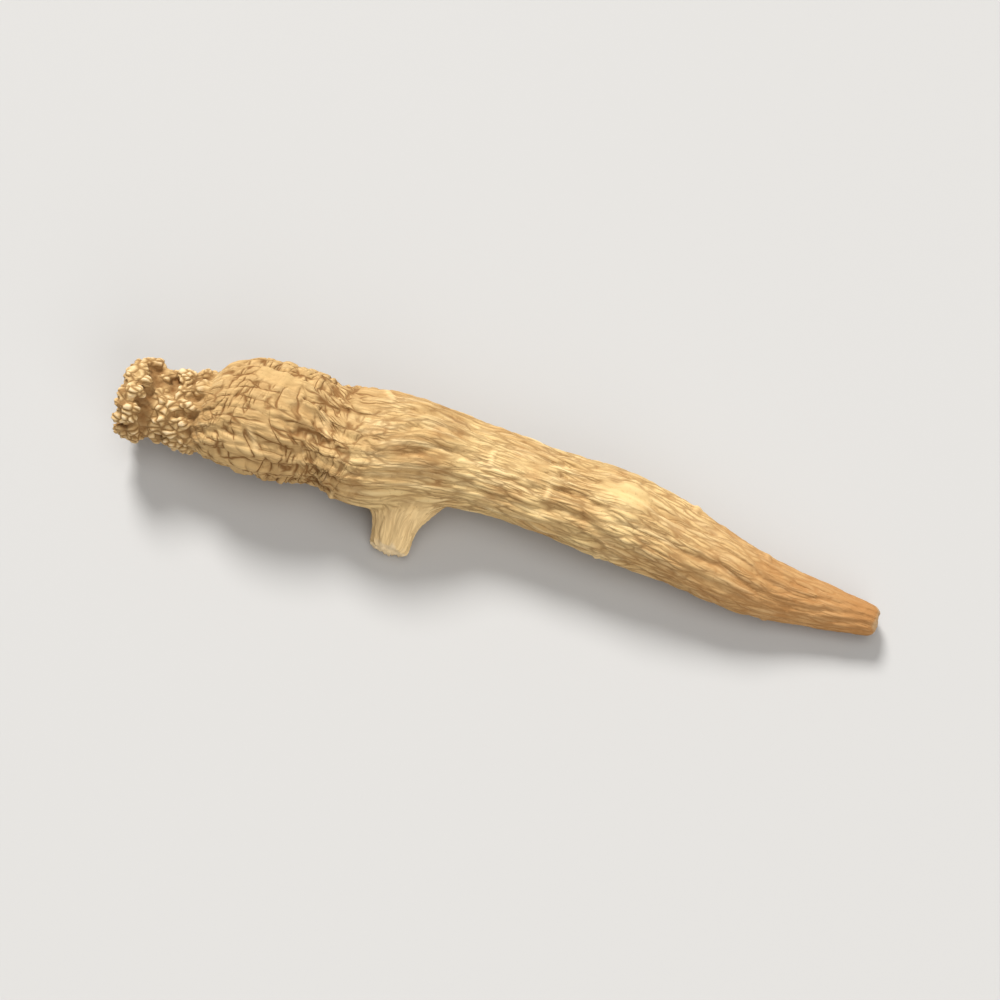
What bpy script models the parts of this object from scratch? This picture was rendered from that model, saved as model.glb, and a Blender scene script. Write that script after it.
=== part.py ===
"""A dried ginseng root, grown as one piece and lying on its side. Metres, +Z up.

The knobbly head with its sunken stem scars is at -X and the tail at +X. The plump shoulder, the tail
and the end of the broken side root touch the surface that the root lies on.
"""

import math
import random

import bmesh
import bpy
from mathutils import Vector, noise

MM = 0.001
TAU = 2 * math.pi
ROOT_NAME = "ginseng_root"

# Driving dimensions
ROOT_LENGTH = 84.4 * MM
SHOULDER_HALF_WIDTH = 6.5 * MM
HEIGHT_SHARE = 0.92
PRESSED_DEPTH = 0.32 * MM

# Half width of the root, as a share of the shoulder's, at shares of the length from the head
GIRTH = (
    (0.000, 0.54),
    (0.025, 0.60),
    (0.055, 0.54),
    (0.090, 0.61),
    (0.106, 0.68),
    (0.122, 0.84),
    (0.160, 0.96),
    (0.206, 1.00),
    (0.242, 0.97),
    (0.266, 0.92),
    (0.290, 0.96),
    (0.342, 0.97),
    (0.401, 0.86),
    (0.454, 0.75),
    (0.566, 0.72),
    (0.660, 0.75),
    (0.778, 0.63),
    (0.861, 0.50),
    (0.932, 0.36),
    (1.000, 0.24),
)

# Sideways place of the centreline, in shoulder half widths
SWAY = (
    (0.000, 0.10),
    (0.080, 0.20),
    (0.160, 0.44),
    (0.240, 0.50),
    (0.310, 0.45),
    (0.390, 0.66),
    (0.465, 0.73),
    (0.566, 0.67),
    (0.670, 0.58),
    (0.778, 0.38),
    (0.861, 0.25),
    (1.000, 0.26),
)

# Gap between the underside and the surface that the root lies on, in shoulder half widths
LIFT = (
    (0.000, 0.42),
    (0.095, 0.24),
    (0.200, 0.00),
    (0.290, 0.03),
    (0.420, 0.08),
    (0.600, 0.10),
    (0.780, 0.03),
    (0.880, 0.00),
    (1.000, 0.13),
)

# The broken side root: half width as a share of the shoulder's, at shares of its length
SIDE_GIRTH = ((0.0, 0.80), (0.20, 0.74), (0.40, 0.56), (0.62, 0.42), (0.82, 0.36), (1.0, 0.33))
SIDE_PLACE = 0.378
SIDE_START = 3.0 * MM
SIDE_LENGTH = 7.7 * MM
SIDE_FLATNESS = 0.58
SIDE_DIP = 0.45 * MM
SIDE_DROP_POWER = 1.2

# Mesh of the two limbs
ROOT_SIDES = 48
ROOT_RINGS = 82
HEAD_RINGS_SHARE = 0.5
HEAD_AND_SHOULDER = 0.31
TAIL_RINGS_POWER = 1.3
SIDE_SIDES = 28
SIDE_RINGS = 13
HEAD_ROUNDING = 1.9 * MM
TAIL_ROUNDING = 1.4 * MM
SIDE_ROUNDING = 0.8 * MM

# Relief of the skin
LOBE_SHARE = 0.12
FURROW_DEPTH = 0.75 * MM
FURROWS_AROUND = 13
FURROW_WANDER = 0.60
FURROW_SHARPNESS = 1.3
THIN_FURROW_SHARE = 0.35
SIDE_FURROW_DEPTH = 0.35 * MM
SIDE_FURROWS_AROUND = 9
RING_DEPTH = 0.16 * MM
RING_SPACING = 2.3 * MM
RING_FROM = 0.12
RING_TO = 0.31
RING_FADE_IN = 0.02
RING_FADE_OUT = 0.03
NECK_PLACE = 0.266
NECK_DEPTH = 0.34 * MM
NECK_WIDTH = 0.6 * MM
SIDE_SWELL = 0.9 * MM
SIDE_SWELL_WIDTH = 6.0 * MM
SIDE_SWELL_POWER = 3

# Usual strength of a relief, how much it varies, and the least it falls to
FURROW_STRENGTH = (0.7, 1.2, 0.15)
RING_STRENGTH = 0.5
NECK_STRENGTH = (0.65, 0.8)

# Noise that varies the relief: features round the root, features along it, seed
LOBE_NOISE = (5, 9.0, 50.0)
FURROW_PLACE_NOISE = (4, 9.0, 7.0)
FURROW_STRENGTH_NOISE = (7, 9.0, 40.0)
RING_PLACE_NOISE = (7, 12.0, 21.0)
RING_STRENGTH_NOISE = (6, 25.0, 33.0)
NECK_NOISE = (4, 0.0, 71.0)
SIDE_LOBE_NOISE = (4, 3.0, 90.0)

# Knobs crowd round the head in bands: distance from the end, how many, radius, how far each stands out
KNOB_BANDS = (
    (1.5 * MM, 8, 1.75 * MM, 0.55 * MM),
    (4.2 * MM, 7, 1.55 * MM, 0.35 * MM),
    (7.2 * MM, 8, 1.75 * MM, 0.45 * MM),
)
KNOB_SEED = 11
KNOB_SIDES = 10
KNOB_RINGS = 7
KNOB_TURN_SPREAD = 0.2
KNOB_PLACE_SPREAD = 0.5 * MM
KNOB_SIZES = (0.85, 1.15)
KNOB_LENGTHS = (0.6, 0.85)
KNOB_LUMPS = 0.35
KNOB_LUMPS_ACROSS = 0.8
KNOB_VARIETY = 900

# Sunken scars of past years' stems: distance from the end, degrees round from +Y, radius
STEM_SCARS = ((1.7 * MM, None, 2.2 * MM), (5.0 * MM, 112, 1.9 * MM), (3.8 * MM, 318, 1.8 * MM))
SCAR_RIM = 0.72
SCAR_STANDS_OUT = 0.7 * MM
SCAR_SIDES = 14
SCAR_RINGS = 11
END_SCAR_FACING = (-1, 0, 0.15)
SCAR_LEAN = -0.35

SKIN_COLOUR = (0.58, 0.38, 0.17, 1.0)
SKIN_ROUGHNESS = 0.8
SMALLEST_EDGE = 0.02 * MM


def smooth(table, place):
    """The value of a table of (place, value) rows at this place, on one smooth curve through its rows."""
    rows = len(table)
    place = min(max(place, table[0][0]), table[-1][0])
    low = max(i for i in range(rows - 1) if table[i][0] <= place)

    def slope(i):
        before, after = table[max(i - 1, 0)], table[min(i + 1, rows - 1)]
        return (after[1] - before[1]) / (after[0] - before[0])

    (x0, y0), (x1, y1) = table[low], table[low + 1]
    span = x1 - x0
    f = (place - x0) / span
    start = (1 + 2 * f) * (1 - f) ** 2 * y0 + f * (1 - f) ** 2 * span * slope(low)
    end = f * f * (3 - 2 * f) * y1 + f * f * (f - 1) * span * slope(low + 1)
    return start + end


def bump(distance, width):
    """A smooth hump, 1 at no distance and falling to nothing past about two widths."""
    return math.exp(-((distance / width) ** 2))


def ramp(distance, width):
    """Rises from 0 to 1 over the width."""
    return min(max(distance / width, 0), 1)


def rounded(distance, radius):
    """How far a limb has opened, from 0 at its very end to 1 past the rounding."""
    gap = 1 - min(distance / radius, 1)
    return math.sqrt(max(1 - gap * gap, 0))


def around_noise(angle, t, pattern):
    """Noise on the skin, for a pattern of (features round the root, features along it, seed)."""
    turns, along, seed = pattern
    reach = turns / TAU
    return noise.noise(Vector((math.cos(angle) * reach, math.sin(angle) * reach, t * along + seed)))


def furrows(t, angle, count):
    """Lengthwise creases between rounded ridges, from 0 on a ridge to 1 in a crease."""
    usual, varies, least = FURROW_STRENGTH
    turned = angle + FURROW_WANDER * around_noise(angle, t, FURROW_PLACE_NOISE)
    strength = usual + varies * around_noise(angle, t, FURROW_STRENGTH_NOISE)
    return min(max(strength, least), 1) * (1 - abs(math.sin(count * turned / 2))) ** FURROW_SHARPNESS


def rings(t, angle):
    """The broken rings round the shoulder, from -1 to 1."""
    start = ramp(t - RING_FROM, RING_FADE_IN)
    end = ramp(RING_TO - t, RING_FADE_OUT)
    shift = around_noise(angle, t, RING_PLACE_NOISE)
    strength = RING_STRENGTH + around_noise(angle, t, RING_STRENGTH_NOISE)
    return start * end * strength * math.sin(TAU * (t * ROOT_LENGTH / RING_SPACING + shift))


def neck(t, angle):
    """The shallow crease behind the shoulder, uneven round the root."""
    usual, varies = NECK_STRENGTH
    strength = usual + varies * around_noise(angle, t, NECK_NOISE)
    return strength * bump((t - NECK_PLACE) * ROOT_LENGTH, NECK_WIDTH)


def root_half_width(t, angle):
    """Half width of the root in one direction, with its lobes, wrinkles, rings and neck."""
    girth = smooth(GIRTH, t) * SHOULDER_HALF_WIDTH
    lobes = 1 + LOBE_SHARE * around_noise(angle, t, LOBE_NOISE)
    thick = girth / SHOULDER_HALF_WIDTH
    furrow_depth = FURROW_DEPTH * (THIN_FURROW_SHARE + (1 - THIN_FURROW_SHARE) * thick)
    relief = RING_DEPTH * rings(t, angle) - furrow_depth * furrows(t, angle, FURROWS_AROUND)
    relief -= NECK_DEPTH * neck(t, angle)
    towards_side_root = max(-math.cos(angle), 0) ** SIDE_SWELL_POWER
    relief += SIDE_SWELL * towards_side_root * bump((t - SIDE_PLACE) * ROOT_LENGTH, SIDE_SWELL_WIDTH)
    return girth * lobes + relief


def root_spine(t):
    """A point of the root's centreline."""
    lift = smooth(LIFT, t) * SHOULDER_HALF_WIDTH
    height = smooth(GIRTH, t) * SHOULDER_HALF_WIDTH * HEIGHT_SHARE
    return Vector((t * ROOT_LENGTH, smooth(SWAY, t) * SHOULDER_HALF_WIDTH, lift + height - PRESSED_DEPTH))


def root_ring(share):
    """Place along the root of a ring of the mesh: closer together on the head and shoulder."""
    if share < HEAD_RINGS_SHARE:
        return share / HEAD_RINGS_SHARE * HEAD_AND_SHOULDER
    left = (1 - share) / (1 - HEAD_RINGS_SHARE)
    return 1 - left ** TAIL_RINGS_POWER * (1 - HEAD_AND_SHOULDER)


def root_opening(t):
    return rounded(t * ROOT_LENGTH, HEAD_ROUNDING) * rounded((1 - t) * ROOT_LENGTH, TAIL_ROUNDING)


def root_flatness(t):
    return HEIGHT_SHARE


def side_spine(t):
    """A point of the side root's centreline: out of the body towards -Y and down to the surface."""
    start = root_spine(SIDE_PLACE)
    end_height = SIDE_GIRTH[-1][1] * SHOULDER_HALF_WIDTH * HEIGHT_SHARE - PRESSED_DEPTH - SIDE_DIP
    drop = (start.z - end_height) * t ** SIDE_DROP_POWER
    return start + Vector((0, -SIDE_START - SIDE_LENGTH * t, -drop))


def side_half_width(t, angle):
    girth = smooth(SIDE_GIRTH, t) * SHOULDER_HALF_WIDTH
    lobes = 1 + LOBE_SHARE * around_noise(angle, t, SIDE_LOBE_NOISE)
    along = t * SIDE_LENGTH / ROOT_LENGTH
    return girth * lobes - SIDE_FURROW_DEPTH * furrows(along, angle, SIDE_FURROWS_AROUND)


def side_opening(t):
    return rounded((1 - t) * SIDE_LENGTH, SIDE_ROUNDING) * rounded(t * SIDE_LENGTH, SIDE_ROUNDING)


def side_flatness(t):
    return SIDE_FLATNESS + (HEIGHT_SHARE - SIDE_FLATNESS) * t


def new_object(name, bm, collection):
    mesh = bpy.data.meshes.new(name)
    bm.to_mesh(mesh)
    bm.free()
    obj = bpy.data.objects.new(name, mesh)
    collection.objects.link(obj)
    return obj


def make_limb(name, collection, sides, ring_count, across, ring_place, spine, half_width, opening, flatness):
    """A sphere drawn out along a centreline, its rings all in planes that hold `across` and +Z."""
    bm = bmesh.new()
    bmesh.ops.create_uvsphere(bm, u_segments=sides, v_segments=ring_count, radius=1)
    for vert in bm.verts:
        share = 1 - math.acos(max(min(vert.co.z, 1), -1)) / math.pi
        angle = math.atan2(vert.co.y, vert.co.x)
        t = ring_place(share)
        height = Vector((0, 0, math.sin(angle) * flatness(t)))
        vert.co = spine(t) + (across * math.cos(angle) + height) * half_width(t, angle) * opening(t)
    return new_object(name, bm, collection)


def make_root(collection):
    return make_limb(
        ROOT_NAME,
        collection,
        ROOT_SIDES,
        ROOT_RINGS,
        Vector((0, 1, 0)),
        root_ring,
        root_spine,
        root_half_width,
        root_opening,
        root_flatness,
    )


def make_side_root(collection):
    return make_limb(
        "side_root",
        collection,
        SIDE_SIDES,
        SIDE_RINGS,
        Vector((1, 0, 0)),
        lambda share: share,
        side_spine,
        side_half_width,
        side_opening,
        side_flatness,
    )


def on_head(distance, angle, depth):
    """A point this far under the skin of the head, at a distance from its end and an angle round it."""
    t = distance / ROOT_LENGTH
    reach = smooth(GIRTH, t) * SHOULDER_HALF_WIDTH - depth
    return root_spine(t) + Vector((0, math.cos(angle), math.sin(angle) * HEIGHT_SHARE)) * reach


def make_knob(name, collection, centre, size, length):
    """One lumpy ball, shortened along the root."""
    bm = bmesh.new()
    bmesh.ops.create_uvsphere(bm, u_segments=KNOB_SIDES, v_segments=KNOB_RINGS, radius=size)
    for vert in bm.verts:
        lumps = noise.noise(vert.co * (KNOB_LUMPS_ACROSS / size) + centre * KNOB_VARIETY)
        vert.co = Vector((vert.co.x * length, vert.co.y, vert.co.z)) * (1 + KNOB_LUMPS * lumps) + centre
    new_object(name, bm, collection)


def make_knobs(collection):
    """The crowded knobs left by old buds and rootlets, in bands round the head, each turned half a step."""
    draw = random.Random(KNOB_SEED)
    for band, (distance, count, radius, stands_out) in enumerate(KNOB_BANDS):
        for i in range(count):
            turn = i + band / 2 + draw.uniform(-KNOB_TURN_SPREAD, KNOB_TURN_SPREAD)
            size = radius * draw.uniform(*KNOB_SIZES)
            place = distance + draw.uniform(-KNOB_PLACE_SPREAD, KNOB_PLACE_SPREAD)
            centre = on_head(place, TAU * turn / count, size - stands_out)
            make_knob(f"knob_{band}_{i}", collection, centre, size, draw.uniform(*KNOB_LENGTHS))


def make_stem_scars(collection):
    """Short stumps of past years' stems, each with a sunken scar in its end."""
    for i, (distance, degrees, radius) in enumerate(STEM_SCARS):
        rim = radius * SCAR_RIM
        if degrees is None:
            facing = Vector(END_SCAR_FACING).normalized()
            centre = root_spine(0) + Vector((distance, 0, 0))
        else:
            angle = math.radians(degrees)
            facing = Vector((SCAR_LEAN, math.cos(angle), math.sin(angle))).normalized()
            centre = on_head(distance, angle, rim - SCAR_STANDS_OUT)
        turn = Vector((0, 0, 1)).rotation_difference(facing)
        bm = bmesh.new()
        bmesh.ops.create_uvsphere(bm, u_segments=SCAR_SIDES, v_segments=SCAR_RINGS, radius=radius)
        for vert in bm.verts:
            if vert.co.z > rim:
                vert.co.z = 2 * rim - vert.co.z
            vert.co = turn @ vert.co + centre
        new_object(f"stem_scar_{i}", bm, collection)


def in_order(mesh):
    """A copy of a mesh whose points and faces are in an order that depends only on where they are."""
    places = [tuple(vert.co) for vert in mesh.vertices]
    order = sorted(range(len(places)), key=places.__getitem__)
    rank = {old: new for new, old in enumerate(order)}
    faces = []
    for face in mesh.polygons:
        corners = [rank[i] for i in face.vertices]
        first = corners.index(min(corners))
        faces.append(corners[first:] + corners[:first])
    ordered = bpy.data.meshes.new(ROOT_NAME)
    ordered.from_pydata([places[i] for i in order], [], sorted(faces))
    return ordered


def fuse(body, collection):
    """Joins everything in the collection to the body, and keeps only the body."""
    union = body.modifiers.new("fuse", "BOOLEAN")
    union.operation = "UNION"
    union.operand_type = "COLLECTION"
    union.collection = collection
    graph = bpy.context.evaluated_depsgraph_get()
    joined = bpy.data.meshes.new_from_object(body.evaluated_get(graph))
    body.modifiers.remove(union)
    body.data = in_order(joined)
    for helper in list(collection.objects):
        bpy.data.objects.remove(helper)
    bpy.data.collections.remove(collection)


def settle(body):
    """Presses the lowest points flat on the surface and centres the root over the origin."""
    bm = bmesh.new()
    bm.from_mesh(body.data)
    bmesh.ops.remove_doubles(bm, verts=bm.verts, dist=SMALLEST_EDGE)
    bmesh.ops.dissolve_degenerate(bm, edges=bm.edges, dist=SMALLEST_EDGE)
    bmesh.ops.triangulate(bm, faces=bm.faces)
    middle = Vector()
    for axis in (0, 1):
        places = [vert.co[axis] for vert in bm.verts]
        middle[axis] = (min(places) + max(places)) / 2
    for vert in bm.verts:
        vert.co -= middle
        vert.co.z = max(vert.co.z, 0)
    bm.to_mesh(body.data)
    bm.free()


def dried_skin():
    material = bpy.data.materials.new("dried_skin")
    material.use_nodes = True
    shader = material.node_tree.nodes["Principled BSDF"]
    shader.inputs["Base Color"].default_value = SKIN_COLOUR
    shader.inputs["Roughness"].default_value = SKIN_ROUGHNESS
    shader.inputs["Metallic"].default_value = 0.0
    return material


def main():
    for obj in list(bpy.data.objects):
        bpy.data.objects.remove(obj)
    parts = bpy.data.collections.new(ROOT_NAME)
    growths = bpy.data.collections.new("growths")
    bpy.context.scene.collection.children.link(parts)
    bpy.context.scene.collection.children.link(growths)
    root = make_root(parts)
    make_side_root(growths)
    make_knobs(growths)
    make_stem_scars(growths)
    fuse(root, growths)
    settle(root)
    root.data.materials.clear()
    root.data.materials.append(dried_skin())
    root.data.shade_smooth()


main()
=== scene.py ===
import math
import random

import bmesh
import bpy
from mathutils import Matrix, Vector, noise


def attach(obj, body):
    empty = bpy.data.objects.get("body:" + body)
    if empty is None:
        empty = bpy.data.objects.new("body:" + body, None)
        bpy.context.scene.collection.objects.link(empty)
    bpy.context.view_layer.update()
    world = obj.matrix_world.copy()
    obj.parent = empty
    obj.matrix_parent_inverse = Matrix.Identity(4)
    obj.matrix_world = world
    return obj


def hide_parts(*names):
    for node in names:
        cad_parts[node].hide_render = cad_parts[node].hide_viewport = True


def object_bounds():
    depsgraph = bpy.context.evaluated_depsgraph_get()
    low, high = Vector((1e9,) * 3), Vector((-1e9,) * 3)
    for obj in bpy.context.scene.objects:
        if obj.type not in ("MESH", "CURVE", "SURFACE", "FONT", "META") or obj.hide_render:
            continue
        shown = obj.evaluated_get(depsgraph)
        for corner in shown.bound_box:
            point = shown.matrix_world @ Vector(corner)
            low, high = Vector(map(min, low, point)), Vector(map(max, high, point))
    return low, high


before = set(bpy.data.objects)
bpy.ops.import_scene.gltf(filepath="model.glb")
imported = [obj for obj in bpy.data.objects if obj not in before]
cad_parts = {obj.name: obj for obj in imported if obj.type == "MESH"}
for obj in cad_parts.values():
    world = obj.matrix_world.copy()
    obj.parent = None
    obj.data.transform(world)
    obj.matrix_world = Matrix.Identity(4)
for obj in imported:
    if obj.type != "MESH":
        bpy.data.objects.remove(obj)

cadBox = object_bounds()
mm = 0.001
fullTurn = 2 * math.pi
partName = "ginseng_root"

# The root's own shape, as its solid has it: lengths in metres, girths as shares of the shoulder's
rootForm = {
    "length": 84.4 * mm,
    "shoulder": 6.5 * mm,
    "flatness": 0.92,
    "pressed": 0.32 * mm,
    "girth": (
        (0.000, 0.54), (0.025, 0.60), (0.055, 0.54), (0.090, 0.61), (0.106, 0.68),
        (0.122, 0.84), (0.160, 0.96), (0.206, 1.00), (0.242, 0.97), (0.266, 0.92),
        (0.290, 0.96), (0.342, 0.97), (0.401, 0.86), (0.454, 0.75), (0.566, 0.72),
        (0.660, 0.75), (0.778, 0.63), (0.861, 0.50), (0.932, 0.36), (1.000, 0.24),
    ),
    "sway": (
        (0.000, 0.10), (0.080, 0.20), (0.160, 0.44), (0.240, 0.50), (0.310, 0.45), (0.390, 0.66),
        (0.465, 0.73), (0.566, 0.67), (0.670, 0.58), (0.778, 0.38), (0.861, 0.25), (1.000, 0.26),
    ),
    "lift": (
        (0.000, 0.42), (0.095, 0.24), (0.200, 0.00), (0.290, 0.03), (0.420, 0.08),
        (0.600, 0.10), (0.780, 0.03), (0.880, 0.00), (1.000, 0.13),
    ),
    "sides": 150,
    "rings": 320,
    "headRounding": 1.9 * mm,
    "tailRounding": 1.4 * mm,
    "lobes": 0.12,
    "furrowDepth": 0.75 * mm,
    "furrows": 13,
    # share of the furrows' depth that would be left where there is no girth
    "thinFurrows": 0.35,
    # the shoulder's broken rings: where they are, how soon they fade, and their even part
    "ringDepth": 0.16 * mm,
    "ringSpacing": 2.3 * mm,
    "ringZone": (0.12, 0.31),
    "ringFades": (0.02, 0.03),
    "ringEvenPart": 0.5,
    "neck": 0.266,
    "neckDepth": 0.34 * mm,
    "neckWidth": 0.6 * mm,
    "neckEvenPart": 0.65,
    "neckChange": 0.8,
    # the swelling that the side root grows from, and how tightly it faces that side
    "swell": 0.9 * mm,
    "swellWidth": 6.0 * mm,
    "swellFocus": 3,
}

sideForm = {
    "girth": ((0.0, 0.80), (0.20, 0.74), (0.40, 0.56), (0.62, 0.42), (0.82, 0.36), (1.0, 0.33)),
    "place": 0.378,
    "start": 3.0 * mm,
    "length": 7.7 * mm,
    "flatness": 0.58,
    "dip": 0.45 * mm,
    "droop": 1.2,
    "rounding": 0.8 * mm,
    "furrowDepth": 0.35 * mm,
    "furrows": 9,
    "sides": 90,
    "rings": 60,
}

furrowForm = {
    # how far furrows stray round the root, their usual strength and its change, and the weakest kept
    "stray": 0.60,
    "strength": 0.7,
    "change": 1.2,
    "weakest": 0.15,
    "sharpness": 1.3,
}

unevenness = {
    # bends round the root, bends for each unit along it, and where in the noise to begin
    "furrowStray": (4, 9.0, 7.0),
    "furrowStrength": (7, 9.0, 40.0),
    "lobes": (5, 9.0, 50.0),
    "sideLobes": (4, 3, 90.0),
    "ringShift": (7, 12, 21.0),
    "ringDepth": (6, 25, 33.0),
    "neck": (4, 0, 71.0),
    "headBorder": (5, 0, 3.0),
    "smoothBorder": (9, 0.5, 60.0),
}


def sampled(table, count=1600):
    # a smooth curve through a table of (place, value) rows, read off at even steps
    rows = len(table)
    slopes = []
    for i in range(rows):
        before, after = table[max(i - 1, 0)], table[min(i + 1, rows - 1)]
        slopes.append((after[1] - before[1]) / (after[0] - before[0]))
    values, low = [], 0
    for step in range(count + 1):
        place = step / count
        while low < rows - 2 and table[low + 1][0] <= place:
            low += 1
        (x0, y0), (x1, y1) = table[low], table[low + 1]
        span = x1 - x0
        f = (place - x0) / span
        start = (1 + 2 * f) * (1 - f) ** 2 * y0 + f * (1 - f) ** 2 * span * slopes[low]
        end = f * f * (3 - 2 * f) * y1 + f * f * (f - 1) * span * slopes[low + 1]
        values.append(start + end)
    return values


def smooth(values, place):
    place = min(max(place, 0), 1) * (len(values) - 1)
    low = min(int(place), len(values) - 2)
    return values[low] + (values[low + 1] - values[low]) * (place - low)


for form in (rootForm, sideForm):
    for name in ("girth", "sway", "lift"):
        if name in form:
            form[name] = sampled(form[name])


def bump(distance, width):
    return math.exp(-((distance / width) ** 2))


def ease(low, high, value):
    f = min(max((value - low) / (high - low), 0), 1)
    return f * f * (3 - 2 * f)


def rounded(distance, radius):
    gap = 1 - min(distance / radius, 1)
    return math.sqrt(max(1 - gap * gap, 0))


def uneven(kind, along, angle):
    turns, rate, begin = unevenness[kind]
    reach = turns / fullTurn
    return noise.noise(Vector((math.cos(angle) * reach, math.sin(angle) * reach, along * rate + begin)))


def furrows(t, angle, count):
    form = furrowForm
    turned = angle + form["stray"] * uneven("furrowStray", t, angle)
    strength = form["strength"] + form["change"] * uneven("furrowStrength", t, angle)
    valley = (1 - abs(math.sin(count * turned / 2))) ** form["sharpness"]
    return min(max(strength, form["weakest"]), 1) * valley


def shoulderRings(t, angle):
    form = rootForm
    begin, end = form["ringZone"]
    beginFade, endFade = form["ringFades"]
    ringed = min(max((t - begin) / beginFade, 0), 1) * min(max((end - t) / endFade, 0), 1)
    shift = uneven("ringShift", t, angle)
    wave = math.sin(fullTurn * (t * form["length"] / form["ringSpacing"] + shift))
    return form["ringDepth"] * ringed * (form["ringEvenPart"] + uneven("ringDepth", t, angle)) * wave


def neckCrease(t, angle):
    form = rootForm
    share = form["neckEvenPart"] + form["neckChange"] * uneven("neck", t, angle)
    return form["neckDepth"] * share * bump((t - form["neck"]) * form["length"], form["neckWidth"])


def sideSwell(t, angle):
    form = rootForm
    towardsSide = max(-math.cos(angle), 0) ** form["swellFocus"]
    away = (t - sideForm["place"]) * form["length"]
    return form["swell"] * towardsSide * bump(away, form["swellWidth"])


def rootHalfWidth(t, angle):
    form = rootForm
    girth = smooth(form["girth"], t) * form["shoulder"]
    lobes = 1 + form["lobes"] * uneven("lobes", t, angle)
    thin, share = form["thinFurrows"], girth / form["shoulder"]
    relief = -form["furrowDepth"] * (thin + (1 - thin) * share) * furrows(t, angle, form["furrows"])
    relief += shoulderRings(t, angle)
    relief -= neckCrease(t, angle)
    relief += sideSwell(t, angle)
    return girth * lobes + relief


def rootSpine(t):
    form = rootForm
    height = smooth(form["girth"], t) * form["flatness"] + smooth(form["lift"], t)
    return Vector((
        t * form["length"],
        smooth(form["sway"], t) * form["shoulder"],
        height * form["shoulder"] - form["pressed"],
    ))


def rootOpening(t):
    distance = t * rootForm["length"]
    left = rootForm["length"] - distance
    return rounded(distance, rootForm["headRounding"]) * rounded(left, rootForm["tailRounding"])


def rootFlatness(t):
    return rootForm["flatness"]


def sideSpine(t):
    form = sideForm
    start = rootSpine(form["place"])
    endHeight = form["girth"][-1] * rootForm["shoulder"] * rootForm["flatness"]
    drop = (start.z - endHeight + rootForm["pressed"] + form["dip"]) * max(t, 0) ** form["droop"]
    return start + Vector((0, -form["start"] - form["length"] * t, -drop))


def sideHalfWidth(t, angle):
    form = sideForm
    girth = smooth(form["girth"], t) * rootForm["shoulder"]
    lobes = 1 + rootForm["lobes"] * uneven("sideLobes", t, angle)
    along = t * form["length"] / rootForm["length"]
    return girth * lobes - form["furrowDepth"] * furrows(along, angle, form["furrows"])


def sideOpening(t):
    distance = t * sideForm["length"]
    left = sideForm["length"] - distance
    return rounded(left, sideForm["rounding"]) * rounded(distance, sideForm["rounding"])


def sideFlatness(t):
    return sideForm["flatness"] + (rootForm["flatness"] - sideForm["flatness"]) * t


def addLimb(bm, form, across, spine, halfWidth, opening, flatness):
    # a ball drawn out along a spine: its latitude is the way along and its longitude the way round
    made = bmesh.ops.create_uvsphere(bm, u_segments=form["sides"], v_segments=form["rings"], radius=1)
    for vert in made["verts"]:
        t = 1 - math.acos(max(min(vert.co.z, 1), -1)) / math.pi
        angle = math.atan2(vert.co.y, vert.co.x)
        height = Vector((0, 0, math.sin(angle) * flatness(t)))
        vert.co = spine(t) + (across * math.cos(angle) + height) * halfWidth(t, angle) * opening(t)


headForm = {
    # distance from the end, how many, radius, how far each stands out
    "knobBands": (
        (1.5 * mm, 8, 1.75 * mm, 0.55 * mm),
        (4.2 * mm, 7, 1.55 * mm, 0.35 * mm),
        (7.2 * mm, 8, 1.75 * mm, 0.45 * mm),
    ),
    "knobSeed": 11,
    # how far a knob strays round, as a share of its turn, and along, in millimetres
    "knobTurn": 0.2,
    "knobShift": 0.5,
    "knobSizes": (0.85, 1.15),
    "knobLengths": (0.6, 0.85),
    "knobSegments": (28, 20),
    # height of the lumps on a knob, lumps across it, and how soon they change from knob to knob
    "lumpHeight": 0.35,
    "lumps": 0.8,
    "lumpChange": 900,
    # distance from the end, degrees round from +Y, radius: None faces out of the end
    "stemScars": ((1.7 * mm, None, 2.2 * mm), (5.0 * mm, 112, 1.9 * mm), (3.8 * mm, 318, 1.8 * mm)),
    "scarRim": 0.72,
    "scarStandsOut": 0.7 * mm,
    "scarSegments": 40,
    "endScarFacing": (-1, 0, 0.15),
    "scarLean": -0.35,
}


def onHead(distance, angle, depth):
    t = distance / rootForm["length"]
    reach = smooth(rootForm["girth"], t) * rootForm["shoulder"] - depth
    return rootSpine(t) + Vector((0, math.cos(angle), math.sin(angle) * rootForm["flatness"])) * reach


def addBall(bm, segments, radius):
    around, along = segments
    return bmesh.ops.create_uvsphere(bm, u_segments=around, v_segments=along, radius=radius)["verts"]


def addKnobs(bm):
    form = headForm
    draw = random.Random(form["knobSeed"])
    turn, shift = form["knobTurn"], form["knobShift"]
    for band, (distance, count, radius, standsOut) in enumerate(form["knobBands"]):
        for i in range(count):
            angle = fullTurn * (i + 0.5 * band + draw.uniform(-turn, turn)) / count
            size = radius * draw.uniform(*form["knobSizes"])
            centre = onHead(distance + draw.uniform(-shift, shift) * mm, angle, size - standsOut)
            length = draw.uniform(*form["knobLengths"])
            for vert in addBall(bm, form["knobSegments"], size):
                place = vert.co * (form["lumps"] / size) + centre * form["lumpChange"]
                lumpy = 1 + form["lumpHeight"] * noise.noise(place)
                vert.co = Vector((vert.co.x * length, vert.co.y, vert.co.z)) * lumpy + centre


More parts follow.
